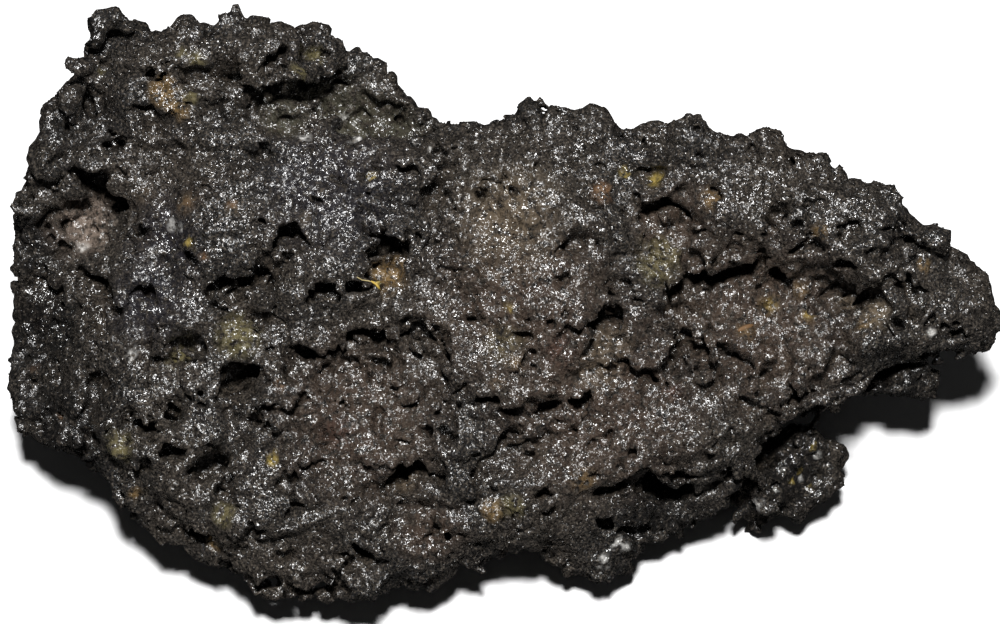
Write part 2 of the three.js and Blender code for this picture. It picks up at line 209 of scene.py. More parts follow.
# Hollows under a roof: in millimetres the width of the dark slit, its depth and how far its floor runs out,
# then the slit's route in photograph pixels. A route to the right has its floor below.
HOLLOWS = (
    # Upper plate
    (1.9, 4.2, 1.6, (250, 97), (280, 93), (308, 86), (328, 75)),
    (1.0, 3.0, 1.0, (228, 82), (242, 86), (257, 90)),
    (0.8, 2.0, 1.2, (262, 68), (268, 56), (285, 48)),
    (0.5, 1.4, 0.8, (140, 71), (150, 68), (172, 58)),
    (0.5, 1.4, 0.6, (148, 73), (165, 71)),
    (0.8, 2.5, 0.6, (80, 90), (90, 103), (100, 118)),
    (0.6, 1.6, 0.6, (106, 145), (118, 145)),
    # Left side
    (2.3, 5.4, 5.0, (83, 173), (100, 187), (116, 199), (129, 207)),
    (0.6, 1.8, 1.0, (45, 215), (62, 205)),
    (0.5, 1.5, 0.8, (42, 228), (55, 245)),
    (0.8, 2.0, 1.5, (46, 268), (61, 284)),
    (1.3, 3.8, 4.0, (85, 272), (100, 278), (112, 295), (117, 314)),
    (0.7, 2.0, 0.8, (145, 285), (155, 297)),
    (0.5, 1.2, 1.0, (128, 236), (138, 229), (149, 232)),
    (0.6, 1.4, 0.6, (77, 410), (87, 411)),
    (0.7, 1.6, 0.6, (86, 446), (98, 446)),
    # Plateau
    (1.2, 3.5, 2.0, (276, 241), (284, 234), (297, 231), (308, 240)),
    (2.0, 4.8, 4.5, (374, 253), (380, 246), (392, 243), (406, 250)),
    (1.3, 4.0, 1.6, (312, 294), (318, 284), (330, 283), (345, 287), (353, 276), (360, 263)),
    (1.1, 3.0, 4.0, (210, 290), (222, 281), (242, 277), (262, 279), (276, 289)),
    (0.5, 1.4, 1.0, (215, 305), (227, 298), (236, 290), (245, 299)),
    (1.1, 3.4, 5.0, (295, 354), (312, 357), (326, 350), (343, 337), (362, 332), (381, 326)),
    (1.0, 3.2, 5.0, (365, 332), (385, 336), (405, 335), (425, 337), (440, 343), (449, 356), (455, 368)),
    (0.5, 1.4, 0.8, (370, 358), (390, 361)),
    (0.6, 1.6, 0.8, (400, 350), (412, 352), (423, 355)),
    (0.5, 1.2, 0.8, (394, 390), (404, 383), (415, 389)),
    (0.7, 1.8, 0.6, (443, 377), (453, 378)),
    (0.5, 1.4, 0.8, (345, 378), (356, 368), (366, 372)),
    (0.5, 1.4, 0.8, (388, 410), (405, 406), (420, 402), (440, 393)),
    (2.4, 5.0, 1.6, (224, 385), (231, 377), (238, 368), (250, 367), (260, 373)),
    (0.8, 2.0, 0.8, (200, 390), (212, 378)),
    (1.0, 2.4, 0.8, (193, 345), (203, 350), (211, 358)),
    (0.5, 1.2, 2.0, (155, 360), (165, 345), (176, 338), (189, 345)),
    (0.5, 1.2, 0.6, (180, 352), (192, 360)),
    (0.5, 1.4, 0.6, (260, 326), (266, 318)),
    # Lower left
    (0.6, 1.6, 0.8, (160, 408), (172, 402)),
    (1.0, 2.6, 1.0, (119, 428), (127, 417), (134, 416)),
    (0.9, 3.0, 2.0, (140, 425), (152, 430), (162, 436), (172, 443), (186, 454)),
    (0.5, 1.4, 0.8, (145, 462), (160, 455)),
    (0.5, 1.4, 0.8, (130, 468), (145, 470)),
    (1.4, 3.4, 1.0, (206, 472), (212, 465), (218, 470)),
    (1.3, 3.2, 1.0, (220, 484), (230, 477), (241, 470)),
    (0.8, 2.6, 1.0, (296, 498), (312, 496), (327, 495)),
    (0.5, 1.2, 0.6, (285, 487), (295, 497)),
    (0.5, 1.4, 0.6, (278, 512), (290, 505)),
    (0.5, 1.4, 2.0, (240, 540), (262, 527), (280, 520), (297, 499)),
    (0.5, 1.6, 1.5, (232, 432), (250, 428), (265, 424), (281, 427)),
    (0.5, 1.4, 1.2, (262, 406), (280, 408), (292, 402), (301, 397)),
    (0.5, 1.2, 0.6, (288, 463), (295, 475)),
    (0.5, 1.2, 0.6, (302, 462), (312, 480)),
    (0.5, 1.4, 0.6, (333, 401), (345, 402)),
    (0.5, 1.4, 0.6, (345, 503), (358, 507)),
    (0.5, 1.4, 0.6, (362, 508), (375, 512)),
    (1.0, 2.2, 0.8, (347, 553), (356, 551), (367, 555)),
    (0.6, 1.4, 0.6, (345, 576), (350, 563), (356, 557)),
    (1.2, 2.4, 0.8, (215, 568), (230, 562)),
    (0.5, 1.2, 0.6, (273, 556), (295, 557)),
    (0.6, 1.4, 0.6, (183, 532), (203, 536)),
    (1.3, 3.5, 1.5, (262, 585), (285, 583), (300, 590), (330, 588), (346, 582)),
    (2.1, 4.8, 0.6, (396, 474), (403, 468), (412, 466), (419, 464)),
    (0.6, 1.4, 0.6, (435, 532), (441, 528)),
    # Fold
    (0.5, 1.2, 2.5, (455, 470), (475, 455), (490, 445), (515, 440), (540, 441), (560, 445)),
    (0.5, 1.0, 1.5, (470, 500), (490, 480)),
    (0.5, 1.2, 0.8, (490, 432), (500, 425)),
    (0.7, 2.0, 0.6, (530, 400), (545, 408), (556, 403)),
    (1.0, 2.4, 0.6, (576, 400), (588, 400)),
    (0.5, 1.2, 0.6, (555, 421), (566, 422)),
    (0.5, 1.0, 1.2, (500, 412), (525, 420)),
    (0.5, 1.2, 0.8, (428, 428), (440, 431), (455, 436)),
    (0.7, 2.0, 0.8, (478, 400), (490, 398), (498, 397)),
    (0.6, 1.6, 1.0, (511, 367), (522, 361), (533, 365)),
    (0.5, 1.4, 0.6, (490, 378), (501, 368)),
    # Dome
    (0.9, 1.2, 0.6, (425, 260), (430, 230), (428, 192), (435, 180), (450, 170), (460, 155), (475, 150)),
    (0.8, 2.4, 0.3, (555, 248), (573, 240)),
    (0.5, 1.4, 0.5, (611, 230), (618, 240)),
    # Middle right
    (1.7, 4.4, 2.6, (586, 322), (600, 315), (614, 310), (624, 318), (636, 328)),
    (0.7, 2.0, 0.8, (572, 328), (585, 332), (593, 337)),
    (0.5, 1.2, 1.0, (608, 360), (618, 364), (634, 353)),
    (1.1, 3.4, 3.2, (637, 368), (650, 374), (660, 378), (670, 367), (678, 352), (686, 342), (702, 342),
     (719, 348)),
    (0.8, 2.0, 0.6, (680, 355), (688, 372)),
    (0.7, 2.0, 1.5, (705, 384), (715, 377), (723, 370), (731, 365)),
    (0.7, 2.4, 3.0, (715, 365), (735, 360), (748, 366), (763, 377)),
    (0.8, 2.0, 0.8, (783, 388), (797, 396)),
    # Right ridge
    (1.4, 4.4, 3.6, (669, 304), (678, 292), (690, 283), (706, 279), (725, 276), (745, 270), (761, 262)),
    (0.8, 2.4, 1.5, (775, 278), (785, 270), (791, 267)),
    (1.1, 2.6, 0.6, (786, 248), (796, 241)),
    (0.6, 1.8, 3.0, (795, 243), (815, 245), (831, 252)),
    (0.6, 1.8, 1.5, (838, 258), (853, 264)),
    (1.0, 2.4, 0.8, (762, 232), (778, 231)),
    (0.6, 1.6, 0.8, (706, 186), (722, 195)),
    (0.9, 2.8, 3.2, (647, 211), (660, 203), (675, 206), (690, 217), (701, 227)),
    (0.5, 1.4, 0.8, (790, 233), (795, 222), (806, 212)),
    (0.5, 1.4, 0.8, (770, 218), (785, 210)),
    (1.8, 4.0, 1.2, (853, 296), (862, 300), (872, 294), (881, 290)),
    (0.5, 1.6, 1.5, (825, 298), (838, 290), (852, 284)),
    (0.5, 1.6, 2.0, (880, 288), (905, 283), (926, 282)),
    (0.6, 1.4, 0.6, (895, 320), (905, 328)),
    (0.5, 1.4, 1.0, (918, 318), (930, 325), (944, 330)),
    (0.6, 2.0, 2.4, (870, 250), (888, 244), (905, 241), (921, 247)),
    # Front wall
    (1.9, 5.0, 1.2, (640, 482), (655, 490), (675, 492), (693, 488)),
    (0.9, 2.6, 1.0, (610, 490), (622, 486), (632, 478), (643, 470)),
    (1.2, 2.4, 0.8, (608, 516), (614, 526), (626, 530)),
    (0.6, 1.4, 1.0, (539, 495), (546, 491), (554, 495)),
    (0.5, 1.6, 1.0, (670, 475), (700, 477), (725, 478), (745, 472), (761, 458)),
    (0.9, 2.4, 1.0, (640, 550), (660, 545), (690, 540), (706, 535)),
    (0.5, 1.4, 1.2, (780, 405), (800, 398), (820, 389), (840, 381), (862, 371)),
    # Under the slab
    (1.7, 6.0, 1.5, (722, 512), (738, 492), (752, 474), (768, 453), (792, 433), (818, 417), (848, 400),
     (866, 389), (884, 378)),
    (1.0, 4.0, 1.0, (858, 392), (892, 371), (931, 358), (962, 350)),
    (1.2, 5.0, 1.0, (790, 427), (818, 408), (845, 393)),
)

# Broad hollows: middle, half-width, half-height and turn in the picture in degrees, then depth in millimetres
BASINS = {
    "back recess": (362, 122, 76, 30, -14, 4.4),
    "recess by the beak": (285, 118, 46, 22, -8, 4.4),
    "behind the block": (200, 76, 30, 14, 10, 2.4),
    "under the block": (140, 122, 32, 16, 0, 2.0),
    "behind the plateau": (232, 112, 26, 16, 0, 2.4),
    "left recess": (82, 226, 30, 32, 0, 3.0),
    "left shell": (95, 308, 20, 30, 0, 2.0),
    "ochre floor": (391, 278, 17, 22, 0, 1.4),
    "eye": (243, 382, 21, 18, 0, 3.6),
    "west bowl": (242, 322, 36, 32, 0, 1.4),
    "ledge bowl": (400, 366, 58, 30, -10, 1.2),
    "middle bowl": (610, 345, 26, 24, 0, 1.8),
    "terrace": (720, 306, 54, 22, 12, 2.0),
    "upper bowl": (670, 232, 28, 24, 0, 1.6),
    "lower bowl": (700, 384, 30, 22, 0, 1.4),
    "fold valley": (505, 462, 66, 14, 22, 1.4),
    "tip bowl": (870, 318, 24, 16, 0, 1.4),
}

# Raised edges: in millimetres their half-width and rise, then their route in photograph pixels
RIDGES = (
    (0.9, 0.8, (96, 88), (100, 52), (104, 20)),
    (0.6, 0.4, (92, 60), (69, 66)),
    (1.0, 0.5, (95, 50), (92, 24), (110, 13), (128, 24), (160, 34)),
    (0.6, 0.5, (163, 38), (165, 16)),
    (1.0, 0.7, (172, 32), (215, 24), (238, 14), (262, 24)),
    (1.6, 0.2, (280, 36), (300, 34), (320, 36), (332, 46)),
    (1.0, 1.0, (256, 88), (290, 79), (315, 73), (333, 62), (343, 58)),
    (0.8, 0.7, (120, 66), (148, 60), (172, 50)),
    (0.9, 0.7, (205, 140), (240, 137), (280, 142), (300, 149), (370, 151), (400, 160), (425, 165)),
    (2.0, 0.0, (72, 92), (58, 120), (46, 150), (36, 190), (30, 230), (28, 270), (30, 310), (28, 350),
     (26, 400)),
    (0.9, 0.2, (40, 204), (16, 208)),
    (1.0, 0.4, (920, 236), (944, 240)),
    (1.0, 0.4, (950, 262), (980, 277)),
    (0.7, 0.4, (970, 300), (990, 291)),
    (0.7, 0.4, (968, 316), (990, 314)),
    (2.0, 0.2, (800, 505), (825, 478), (836, 450), (843, 420)),
)

# Edges past which nothing shows: route in photograph pixels, with the outside below a route to the right.
# They are cut with long rods on the line of sight.
TRIMS = (
    [(345, 40), (332, 36), (328, 25), (316, 19), (300, 20), (265, 20), (252, 15), (243, 9), (232, 10),
     (215, 21), (176, 22), (168, 28), (158, 31), (140, 25), (120, 14), (110, 9), (100, 11), (90, 18),
     (89, 46)],
    [(24, 440), (80, 463), (97, 480), (120, 510), (150, 538), (185, 560), (222, 576), (245, 600), (265, 607)],
    [(265, 607), (352, 609), (400, 594), (440, 579), (500, 557), (527, 548)],
    [(527, 548), (552, 568), (590, 582), (632, 579), (665, 564), (695, 542), (722, 514)],
)
TRIM_STEP = 0.4
TRIM_RADIUS = 2.6
TRIM_REACH = 26.0

# Places where the lumps are lower: place and radius in photograph pixels
CALM = ((530, 250, 95), (150, 60, 60), (270, 40, 50), (500, 330, 60), (84, 226, 36))

# Round holes: place, width and height in photograph pixels
PITS = (
    (112, 133, 5, 5), (318, 202, 6, 4), (372, 193, 8, 5), (405, 172, 6, 4), (430, 193, 10, 6),
    (440, 300, 6, 3), (467, 320, 10, 4), (420, 237, 8, 6), (383, 264, 6, 5), (183, 472, 6, 5),
    (162, 488, 6, 5), (238, 508, 6, 5), (400, 505, 10, 6), (447, 540, 6, 9), (418, 545, 6, 5),
    (638, 302, 8, 5), (630, 287, 6, 5), (735, 383, 7, 5), (650, 405, 7, 5), (683, 425, 7, 5),
    (635, 455, 7, 5), (740, 237, 10, 5), (680, 232, 10, 7), (886, 231, 8, 4), (595, 477, 7, 5),
    (468, 176, 10, 4), (483, 199, 9, 5), (454, 209, 9, 8), (514, 237, 6, 6), (533, 241, 6, 6),
    (568, 188, 5, 5),
)

# Rounded knobs: place and radius in photograph pixels
KNOBS = (
    (190, 97, 7), (178, 110, 9), (225, 467, 7), (548, 502, 7), (620, 546, 10), (605, 562, 13),
    (117, 447, 14), (533, 113, 14), (595, 114, 15), (640, 130, 6), (682, 131, 12), (698, 130, 12),
    (690, 124, 9), (716, 136, 8), (745, 143, 9), (768, 140, 12), (807, 160, 6), (822, 159, 6),
    (870, 191, 7), (475, 115, 7), (455, 116, 7),
)

# Knobs on the floors of the hollows, likewise
HOLLOW_KNOBS = (
    (270, 118, 7), (285, 128, 6), (300, 134, 7), (312, 124, 6), (330, 126, 8), (344, 112, 8), (352, 138, 7),
    (372, 126, 9), (386, 108, 8), (400, 132, 8), (416, 140, 6), (95, 312, 9), (72, 236, 7), (98, 240, 6),
    (385, 285, 6), (398, 272, 5), (252, 392, 6), (621, 546, 10), (603, 563, 13), (700, 528, 8), (770, 505, 8),
    (800, 478, 9), (830, 462, 9), (700, 300, 9), (735, 298, 8), (664, 240, 9), (605, 350, 8),
)

# Stains by colour, with painted shade and painted glints among them: place and radius in photograph pixels
STAINS_AND_PAINTED_LIGHT = {
    "ochre": (
        (186, 203, 10), (163, 91, 13), (178, 110, 10), (390, 280, 20), (712, 199, 10), (768, 305, 9),
        (808, 315, 7), (820, 232, 7), (925, 265, 7), (865, 325, 7), (214, 543, 7), (135, 493, 6),
        (800, 290, 8), (515, 362, 8), (498, 383, 6), (585, 481, 11), (493, 510, 10), (747, 330, 9),
    ),
    # Yellow stains, of which the last five, small spots on the toe, are painted gold glints
    "yellow": (
        (187, 243, 5), (372, 177, 4), (657, 181, 8), (624, 172, 5), (378, 283, 3), (509, 309, 4),
        (273, 460, 5), (770, 304, 6), (808, 315, 4), (792, 480, 2), (814, 447, 3), (811, 487, 2),
        (799, 471, 2), (829, 433, 2),
    ),
    "olive": (
        (102, 70, 5), (183, 53, 6), (197, 61, 8), (300, 71, 9), (314, 57, 10), (190, 97, 8), (657, 265, 18),
        (117, 447, 16), (238, 336, 18), (664, 252, 20), (506, 345, 16), (178, 357, 13), (225, 515, 11),
        (512, 507, 11),
    ),
    "grey_green": ((345, 122, 42), (285, 120, 22), (400, 130, 20)),
    "orange": (
        (205, 257, 4), (603, 191, 10), (232, 205, 5), (279, 385, 5), (61, 417, 3), (34, 371, 3),
        (187, 205, 5),
    ),
    "brown": (
        (190, 203, 12), (145, 193, 9), (510, 305, 10), (495, 380, 8), (430, 530, 30), (520, 300, 80),
        (600, 400, 90), (360, 420, 70), (760, 320, 80), (680, 230, 50),
    ),
    "tan": (
        (144, 195, 9), (233, 208, 6), (306, 218, 6), (612, 342, 18), (598, 368, 20), (510, 220, 45),
        (408, 480, 14), (876, 315, 14), (846, 302, 8),
    ),
    "red_brown": ((672, 391, 8), (560, 350, 14), (336, 434, 13)),
    # pink-brown tint of the left recess, lightened partly as painted light on its lit facet
    "pink_brown": ((86, 226, 33),),
    "violet": ((205, 548, 6), (150, 300, 40), (330, 190, 60), (170, 240, 40)),
    # Painted shade: a near-black colour on places in shade, such as the left side, the toe, the front wall
    # and under the tip
    "painted_shade": (
        (50, 330, 50), (60, 420, 55), (40, 250, 30), (80, 120, 36), (230, 120, 20), (90, 40, 20),
        (795, 470, 50), (655, 525, 55), (915, 375, 40),
    ),
    # Painted glints: small near-white specks where the crust glitters
    "pale": (
        (304, 137, 5), (345, 118, 4), (357, 139, 5), (430, 150, 3), (415, 142, 3), (84, 248, 5),
        (172, 224, 5), (182, 228, 3), (131, 356, 4), (932, 333, 4), (619, 540, 4), (625, 547, 4),
        (614, 545, 3), (603, 559, 4), (609, 566, 3), (598, 567, 3), (785, 470, 2), (800, 478, 2),
        (818, 455, 3), (775, 490, 2), (832, 465, 3), (838, 440, 2), (757, 505, 5), (700, 530, 4),
    ),
}
SPOT_EDGE = 0.5
LEAST_SPOT = 1e-6

# Colour and strength of the stains, the painted shade and the painted glints
STAIN_AND_PAINTED_LIGHT_COLOURS = {
    "ochre": (0.2, 0.126, 0.05, 0.7),
    # yellow stains and painted gold glints
    "yellow": (0.46, 0.34, 0.08, 0.9),
    "olive": (0.17, 0.145, 0.065, 0.6),
    "grey_green": (0.07, 0.067, 0.045, 0.5),
    "orange": (0.21, 0.11, 0.05, 0.65),
    "brown": (0.075, 0.05, 0.036, 0.5),
    "tan": (0.17, 0.13, 0.085, 0.55),
    "red_brown": (0.11, 0.055, 0.04, 0.6),
    # pink-brown tint, partly painted light
    "pink_brown": (0.2, 0.155, 0.125, 0.8),
    "violet": (0.016, 0.0153, 0.0195, 0.7),
    # painted shade
    "painted_shade": (0.005, 0.0048, 0.0048, 0.85),
    # painted glints
    "pale": (0.8, 0.78, 0.74, 0.95),
}

# Glassy places: place and radius in photograph pixels
GLASSY = (
    (42, 310, 34), (84, 248, 10), (172, 222, 6), (130, 355, 10), (932, 333, 10), (620, 546, 14),
    (605, 562, 15), (95, 310, 20), (330, 125, 30), (400, 130, 30), (505, 215, 30), (795, 470, 45),
    (690, 525, 22), (640, 505, 14), (180, 240, 24),
)
GLASSY_EDGE = 0.4

# Bits of dirt: route in photograph pixels, half-width and half-thickness in millimetres, and colour
DIRT = {
    "dry_fibre": ([(357, 277), (362, 280), (369, 281), (376, 284)], 0.08, 0.08, (0.42, 0.34, 0.16, 1)),
    "yellow_bit": ([(371, 281), (376, 284), (379, 288), (382, 293)], 0.16, 0.12, (0.42, 0.29, 0.05, 1)),
    "brown_chip": ([(738, 331), (744, 328), (750, 326), (757, 324)], 0.3, 0.1, (0.14, 0.075, 0.03, 1)),
}
DIRT_LIFT = 0.2
DIRT_STEP = 0.4
DIRT_TIP = 0.4
DIRT_CORNERS = 6
DIRT_ROUGHNESS = 0.7

# Floor in millimetres, and the light that stands above the lens in metres and watts
FLOOR_HALF = 3000.0
FLOOR_COLOUR = (0.9, 0.9, 0.9, 1)
FLOOR_ROUGHNESS = 0.6
KEY_ABOVE_LENS = math.radians(21)
KEY_DISTANCE = 0.7
KEY_SIZE = 0.09
KEY_POWER = 8.6
SURROUND_STRENGTH = 0.013


def seen_ray(pixel):
    """Direction in which the camera sees a photograph pixel."""
    across = RIGHT * ((pixel[0] - PHOTO_WIDTH / 2) * PIXEL)
    rise = UP * ((PHOTO_HEIGHT / 2 - pixel[1]) * PIXEL)
    return (across + rise - TOWARD * DISTANCE).normalized()


def spline_rows(count, step):
    """Weights that draw a smooth curve through random values `step` cells apart."""
    at = np.arange(count) / step
    base = np.floor(at).astype(int)
    part = at - base
    rows = np.zeros((count, base[-1] + 4), np.float32)
    cells = np.arange(count)
    rows[cells, base] = (1 - part) ** 3 / 6
    rows[cells, base + 1] = (3 * part**3 - 6 * part**2 + 4) / 6
    rows[cells, base + 2] = (-3 * part**3 + 3 * part**2 + 3 * part + 1) / 6
    rows[cells, base + 3] = part**3 / 6
    return rows


class Ball:
    """A ball stretched along three directions."""

    def __init__(self, middle, axes, halves):
        self.middle = np.array(middle, np.float32)
        self.axes = np.array(axes, np.float32)
        self.halves = np.array(halves, np.float32)
        self.reach = np.sqrt(((self.axes * self.halves[:, None]) ** 2).sum(axis=0)) + BALL_MARGIN

    def distance(self, at):
        local = (at - self.middle) @ self.axes.T
        return (np.sqrt(((local / self.halves) ** 2).sum(axis=-1)) - 1) * self.halves.min()


class Field:
    """Distances to a surface on a grid of small cubes, in millimetres, negative inside."""

    def __init__(self, low, values):
        self.low = low
        self.values = values
        self.ragged = None

    def copy(self):
        return Field(self.low, self.values.copy())

    def along(self, direction, origin):
        """How far each cube lies from a point in a direction."""
        parts = [
            ((np.arange(count) + low) * CUBE - start) * step
            for count, low, start, step in zip(self.values.shape, self.low, origin, direction)
        ]
        x, y, z = (part.astype(np.float32) for part in parts)
        return x[:, None, None] + y[None, :, None] + z[None, None, :]

    def cloud(self, spacing, seed):
        """Smooth random heights with lumps about `spacing` apart, mean 0 and spread 1."""
        x, y, z = (spline_rows(count, spacing / CUBE) for count in self.values.shape)
        draw = np.random.default_rng(seed)
        heights = draw.standard_normal((x.shape[1], y.shape[1] * z.shape[1])).astype(np.float32)
        heights = (x @ heights).reshape(len(x), y.shape[1], z.shape[1])
        heights = (y @ heights) @ z.T
        return heights / heights.std()

    def smooth(self, passes):
        """Even out the solid's flat facets."""
        for _ in range(passes):
            for axis in range(3):
                v = np.moveaxis(self.values, axis, 0)
                v[1:-1] = (v[:-2] + 2 * v[1:-1] + v[2:]) / 4

    def fill_hollows(self):
        """Fill what is narrower than twice the fill's reach, on the side that the camera sees."""
        steps = round(FILL_REACH / CUBE)
        filled = spread(spread(self.values, steps, np.minimum), steps, np.maximum)
        height = self.along(TOWARD, FACE_MIDDLE)
        self.values += (filled - self.values) * ramp(height, *FILLED_ABOVE)

    def block(self, ball):
        """The part of the grid round a ball, and where its cubes are."""
        low = np.floor((ball.middle - ball.reach) / CUBE).astype(int) - self.low
        high = np.ceil((ball.middle + ball.reach) / CUBE).astype(int) - self.low + 1
        first = np.clip(low, 0, self.values.shape)
        last = np.clip(high, 0, self.values.shape)
        part = tuple(slice(a, b) for a, b in zip(first, last))
        axes = [(np.arange(a, b) + o) * CUBE for a, b, o in zip(first, last, self.low)]
        return part, np.stack(np.meshgrid(*axes, indexing="ij"), axis=-1).astype(np.float32)

    def merge(self, ball, form, side):
        """Bring a ball and the rock, or what is outside the rock, together with a soft corner."""
        share, blend = EDGES[form]
        part, at = self.block(ball)
        here = side * self.values[part]
        there = ball.distance(at) + share * self.ragged[part]
        corner = np.maximum(blend - np.abs(here - there), 0) / blend
        self.values[part] = side * (np.minimum(here, there) - corner**2 * blend / 4)

    def add(self, ball, form):
        """Join a ball to the rock, with a ragged surface and a filled corner between them."""
        self.merge(ball, form, 1)

    def cut(self, ball, form):
        """Take a ball out of the rock, with a ragged wall and a rounded edge."""
        self.merge(ball, form, -1)

    def calm_share(self, skin):
        """How much of the lumps each cube keeps: less in the calm places."""
        share = np.ones_like(self.values)
        for x, y, radius in CALM:
            middle = skin.under((x, y))
            across = self.along(RIGHT, middle) ** 2 + self.along(UP, middle) ** 2
            near = np.clip(CALM_EDGE - np.sqrt(across) / (radius * PIXEL), 0, 1)
            share = np.minimum(share, 1 - CALM_SHARE * near)
        return share

    def raise_lumps(self, spacing, rise, seed, share):
        """Raise rounded lumps with creases between them."""
        self.values -= rise * share * (np.abs(self.cloud(spacing, seed)) - MEAN_LUMP)

    def open_pores(self, spacing, rarity, depth, seed):
        """Open small pores in the crust, where a smooth random cloud is high."""
        self.values += depth * np.clip(self.cloud(spacing, seed) - rarity, 0, 1)

    def rest_on_floor(self):
        self.values = np.maximum(self.values, -self.along((0, 0, 1), (0, 0, 0)))

    def surface(self):
        """Points and four-cornered faces of the surface."""
        level = openvdb.FloatGrid(BAND)
        level.transform = openvdb.createLinearTransform(voxelSize=CUBE)
        level.copyFromArray(self.values, ijk=tuple(int(v) for v in self.low))
        return level.convertToQuads(0.0)

    def sample(self, points):
        """Distances at some points."""
        index = np.clip(np.round(points / CUBE).astype(int) - self.low, 0, np.array(self.values.shape) - 1)
        return self.values[tuple(index.T)]


def ramp(values, start, end):
    """Rise from 0 at the start to 1 at the end."""
    return np.clip((values - start) / (end - start), 0, 1)


def spread(values, steps, pick):
    """Each cube takes the lowest or highest value within some steps of it, along each axis in turn."""
    result = values.copy()
    for axis in range(3):
        v = np.moveaxis(result, axis, 0)
        done = 0
        while done < steps:
            step = min(max(done, 1), steps - done)
            both = v.copy()
            both[step:] = pick(both[step:], v[:-step])
            both[:-step] = pick(both[:-step], v[step:])
            v[:] = both
            done += step
    return result


def read_values(items, name, width=1, kind=np.float32):
    """One value of every item of a mesh, as rows of some width."""
    values = np.empty(len(items) * width, kind)
    items.foreach_get(name, values)
    return values.reshape(-1, width) if width > 1 else values


def solid_field():
    """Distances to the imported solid's surface."""
    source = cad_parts["lava_rock"].data
    source.calc_loop_triangles()
    points = read_values(source.vertices, "co", 3)
    corners = read_values(source.loop_triangles, "vertices", 3, np.int32)
    merged, index = np.unique(np.round(points / MM, WELD_DIGITS), axis=0, return_inverse=True)
    triangles = index.reshape(-1)[corners].astype(np.uint32)
    solid = openvdb.FloatGrid.createLevelSetFromPolygons(
        merged.astype(np.float32), triangles=triangles,
        transform=openvdb.createLinearTransform(voxelSize=CUBE), halfWidth=BAND / CUBE,
    )
    low, high = solid.evalActiveVoxelBoundingBox()
    values = np.empty(np.array(high) - np.array(low) + 1, np.float32)
    solid.copyToArray(values, ijk=tuple(low))
    return Field(np.array(low), values)


class Skin:
    """A surface of the rock, to find what lies under a photograph pixel."""

    def __init__(self, points, faces):
        self.points = points
        self.tree = BVHTree.FromPolygons(points.tolist(), faces.tolist())
        corners = points[faces]
        across = np.cross(corners[:, 2] - corners[:, 0], corners[:, 3] - corners[:, 1])
        self.normals = np.zeros_like(points)
        for corner in range(4):
            np.add.at(self.normals, faces[:, corner], across)
        self.normals /= np.linalg.norm(self.normals, axis=1, keepdims=True)

    def under(self, pixel):
        """The point that shows at a pixel, or a point beside the rock on its line of sight."""
        way = seen_ray(pixel)
        hit = self.tree.ray_cast(EYE, way)[0]
        if hit is None:
            nearest = self.tree.find_nearest(EYE + way * DISTANCE)[0]
            hit = EYE + way * (nearest - EYE).dot(way)
        return hit

    def along_route(self, route, step):
        """Points on the rock under a route of pixels, each with the direction of the route."""
        places = []
        for start, end in zip(route, route[1:]):
            count = max(1, round(math.dist(start, end) * PIXEL / step))
            way = (RIGHT * (end[0] - start[0]) - UP * (end[1] - start[1])).normalized()
            for i in range(count):
                pixel = [a + (b - a) * i / count for a, b in zip(start, end)]
                places.append((self.under(pixel), way))
        return places


def hollow_balls(skin, route, width, depth, run):
    """A slit that goes in under its roof, and a floor that runs out from it."""
    places = skin.along_route(route, SLIT["step"] * width)
    depth = DEEPER * depth
    width = WIDER * width
    for i, (at, along) in enumerate(places):
        share = (i + 0.5) / len(places)
        taper = math.sqrt(max(LEAST_TAPER, 1 - abs(2 * share - 1) ** 3))
        narrowing = SLIT["ends"] + (1 - SLIT["ends"]) * taper
        down = along.cross(TOWARD)
        inward = -TOWARD * math.cos(UNDERCUT) - down * math.sin(UNDERCUT)
        yield Ball(
            at + down * (SLIT["offset"] * width) + inward * (SLIT["sink"] * depth * taper),
            (along, inward, along.cross(inward)),
            (SLIT["along"] * width, SLIT["deep"] * depth * taper, SLIT["across"] * width * narrowing),
        )
        outward = down * math.cos(SLOPE_RISE) + TOWARD * math.sin(SLOPE_RISE)
        half_run = SLOPE["run"] * run * taper + SLOPE["least_run"]
        yield Ball(
            at + down * (SLOPE["offset"] * run * taper) - TOWARD * (SLOPE["sink"] * depth),
            (along, outward, along.cross(outward)),
            (SLOPE["along"] * width, half_run, SLOPE["deep"] * depth * taper),
        )


def lip_balls(skin, route, width):
    """A raised lip along a hollow's roof."""
    radius = LIP["radius"] * WIDER * width
    sink = radius - LIP["rise"] * WIDER * width
    for at, along in skin.along_route(route, LIP["step"] * width):
        up = TOWARD.cross(along)
        middle = at + up * (LIP["offset"] * radius) - TOWARD * sink
        yield Ball(middle, (along, up, TOWARD), (radius, radius, radius))


def ridge_balls(skin, route, half, rise):
    for at, along in skin.along_route(route, RIDGE["step"] * half):
        axes = (along, TOWARD.cross(along), TOWARD)
        yield Ball(at + TOWARD * (rise - half), axes, (RIDGE["along"] * half, half, half))


def basin_ball(skin, x, y, half_width, half_height, turn, depth):
    angle = math.radians(turn)
    along = RIGHT * math.cos(angle) + UP * math.sin(angle)
    halves = (half_width * PIXEL, half_height * PIXEL, depth)
    return Ball(skin.under((x, y)), (along, TOWARD.cross(along), TOWARD), halves)


def trim_balls(skin, route):
    """Long rods on the line of sight, just outside an edge."""
    for at, along in skin.along_route(route, TRIM_STEP * TRIM_RADIUS):
        down = along.cross(TOWARD)
        middle = at + down * TRIM_RADIUS - TOWARD * (TRIM_REACH / 2)
        yield Ball(middle, (along, down, TOWARD), (TRIM_RADIUS, TRIM_RADIUS, TRIM_REACH))


